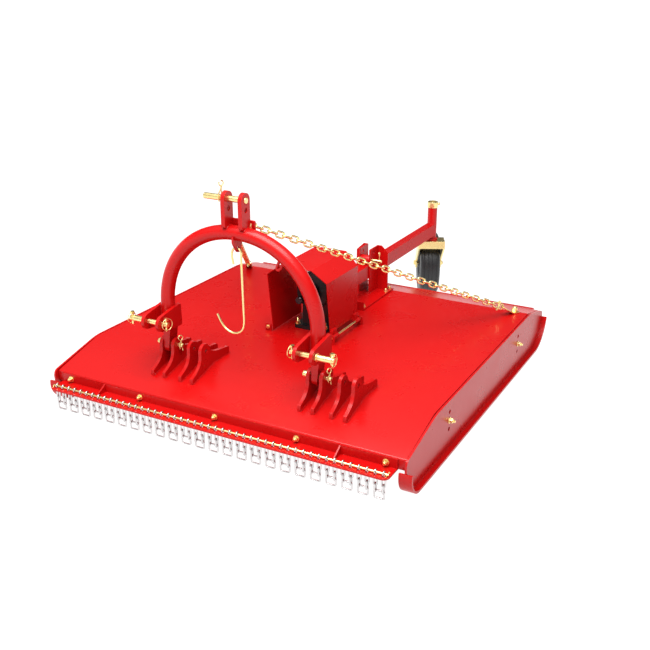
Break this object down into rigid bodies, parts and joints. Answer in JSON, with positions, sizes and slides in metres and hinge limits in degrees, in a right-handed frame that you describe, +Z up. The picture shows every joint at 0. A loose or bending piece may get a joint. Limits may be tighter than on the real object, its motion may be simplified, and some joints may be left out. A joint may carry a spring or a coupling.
{
  "type": "tractor slasher",
  "caption": "Rotary slasher for a tractor's three-point hitch, with tilting hoop, chain guard, skids, gearbox under a hinged hood, swinging blades and castor tail wheel",
  "frame": {"origin": "centre of the box that holds the whole part, on the ground under it", "axes": "+Z up, +Y to the rear, from the hitch towards the tail wheel, +X to the right seen from the tractor"},
  "size_m": [1.7372, 2.6798, 1.0491],
  "materials": {
    "red_paint": "glossy red enamel on sheet, plate and tube",
    "zinc": "yellow zinc plating",
    "chain_steel": "bright galvanised steel",
    "black_paint": "satin black enamel",
    "steel": "bare machined steel",
    "rubber": "black rubber"
  },
  "bodies": {
    "frame": {"arm_pivot_pin": "zinc", "chain_anchor_left": "zinc", "chain_anchor_right": "zinc", "deck": "red_paint", "ear_left_inner_a": "red_paint", "ear_left_inner_b": "red_paint", "ear_left_outer_a": "red_paint", "ear_left_outer_b": "red_paint", "ear_right_inner_a": "red_paint", "ear_right_inner_b": "red_paint", "ear_right_outer_a": "red_paint", "ear_right_outer_b": "red_paint", "foot_pin_left": "zinc", "foot_pin_right": "zinc", "gearbox_housing": "black_paint", "guard_bracket": "red_paint", "guard_rod": "chain_steel", "height_clip": "zinc", "height_pin": "zinc", "height_spacer": "red_paint", "hood_rod": "zinc", "skid_bolt_lf": "zinc", "skid_bolt_lr": "zinc", "skid_bolt_rf": "zinc", "skid_bolt_rr": "zinc", "skid_left": "red_paint", "skid_right": "red_paint", "support_chain_left": "zinc", "support_chain_right": "zinc", "tail_base": "red_paint"},
    "hoop_body": {"hoop": "red_paint", "top_link_pin": "zinc", "top_link_clip": "zinc", "lower_link_pin_left": "zinc", "lower_link_pin_right": "zinc", "lynch_pin_lo": "zinc", "lynch_pin_li": "zinc", "lynch_pin_ri": "zinc", "lynch_pin_ro": "zinc"},
    "hook_body": {"pto_hook": "zinc"},
    "hood_body": {"hood": "red_paint"},
    "drive": {"input_shaft": "steel", "crown_gear": "steel"},
    "rotor": {"rotor_shaft": "steel", "pinion_gear": "steel", "blade_carrier": "black_paint", "blade_bolt_left": "zinc", "blade_bolt_right": "zinc"},
    "left_blade": {"blade_left": "steel"},
    "right_blade": {"blade_right": "steel"},
    "tail": {"tail_arm": "red_paint"},
    "castor": {"castor_fork": "zinc", "castor_collar": "zinc", "wheel_axle": "zinc"},
    "wheel": {"wheel_tyre": "rubber", "wheel_rim": "black_paint"},
    "curtain_1": {"chain_curtain_1": "chain_steel"},
    "curtain_2": {"chain_curtain_2": "chain_steel"},
    "curtain_3": {"chain_curtain_3": "chain_steel"},
    "curtain_4": {"chain_curtain_4": "chain_steel"}
  },
  "joints": [
    {"name": "hoop_tilt", "type": "hinge", "parent": "frame", "child": "hoop_body", "pos_m": [-0.012, -1.04065, 0.30054], "axis": [1, 0, 0], "range_deg": [-35, 0], "deforming": ["support_chain_left", "support_chain_right"]},
    {"name": "hook_swing", "type": "hinge", "parent": "hoop_body", "child": "hook_body", "pos_m": [-0.012, -1.05491, 0.77339], "axis": [1, 0, 0], "range_deg": [-40, 40]},
    {"name": "hood_hinge", "type": "hinge", "parent": "frame", "child": "hood_body", "pos_m": [0.17, -0.59914, 0.27782], "axis": [0, 0.9989, 0.046], "range_deg": [0, 50]},
    {"name": "rotor_spin", "type": "hinge", "parent": "frame", "child": "rotor", "pos_m": [0, -0.37109, 0.10813], "axis": [0, -0.046, 0.9989], "continuous": true},
    {"name": "input_spin", "type": "hinge", "parent": "frame", "child": "drive", "pos_m": [0, -0.58206, 0.42877], "axis": [0, 0.9989, 0.046], "continuous": true},
    {"name": "blade_swing_left", "type": "hinge", "parent": "rotor", "child": "left_blade", "pos_m": [-0.355, -0.37108, 0.10783], "axis": [0, -0.046, 0.9989], "range_deg": [-120, 120]},
    {"name": "blade_swing_right", "type": "hinge", "parent": "rotor", "child": "right_blade", "pos_m": [0.355, -0.37108, 0.10783], "axis": [0, -0.046, 0.9989], "range_deg": [-120, 120]},
    {"name": "tail_lift", "type": "hinge", "parent": "frame", "child": "tail", "pos_m": [0, -0.16883, 0.38973], "axis": [1, 0, 0], "range_deg": [-10, 0]},
    {"name": "castor_swivel", "type": "hinge", "parent": "tail", "child": "castor", "pos_m": [0, 1.00597, 0.37774], "axis": [0, -0.046, 0.9989], "continuous": true},
    {"name": "wheel_spin", "type": "hinge", "parent": "castor", "child": "wheel", "pos_m": [-0.07037, 1.15285, 0.1903], "axis": [0.891, 0.4535, 0.0209], "continuous": true},
    {"name": "curtain_swing_1", "type": "hinge", "parent": "frame", "child": "curtain_1", "pos_m": [-0.594, -1.31142, 0.09357], "axis": [1, 0, 0], "range_deg": [-35, 35]},
    {"name": "curtain_swing_2", "type": "hinge", "parent": "frame", "child": "curtain_2", "pos_m": [-0.198, -1.31142, 0.09357], "axis": [1, 0, 0], "range_deg": [-35, 35]},
    {"name": "curtain_swing_3", "type": "hinge", "parent": "frame", "child": "curtain_3", "pos_m": [0.198, -1.31142, 0.09357], "axis": [1, 0, 0], "range_deg": [-35, 35]},
    {"name": "curtain_swing_4", "type": "hinge", "parent": "frame", "child": "curtain_4", "pos_m": [0.594, -1.31142, 0.09357], "axis": [1, 0, 0], "range_deg": [-35, 35]}
  ],
  "couplings": [
    {"joint": "input_spin", "follows": "rotor_spin", "ratio": -0.53846}
  ]
}
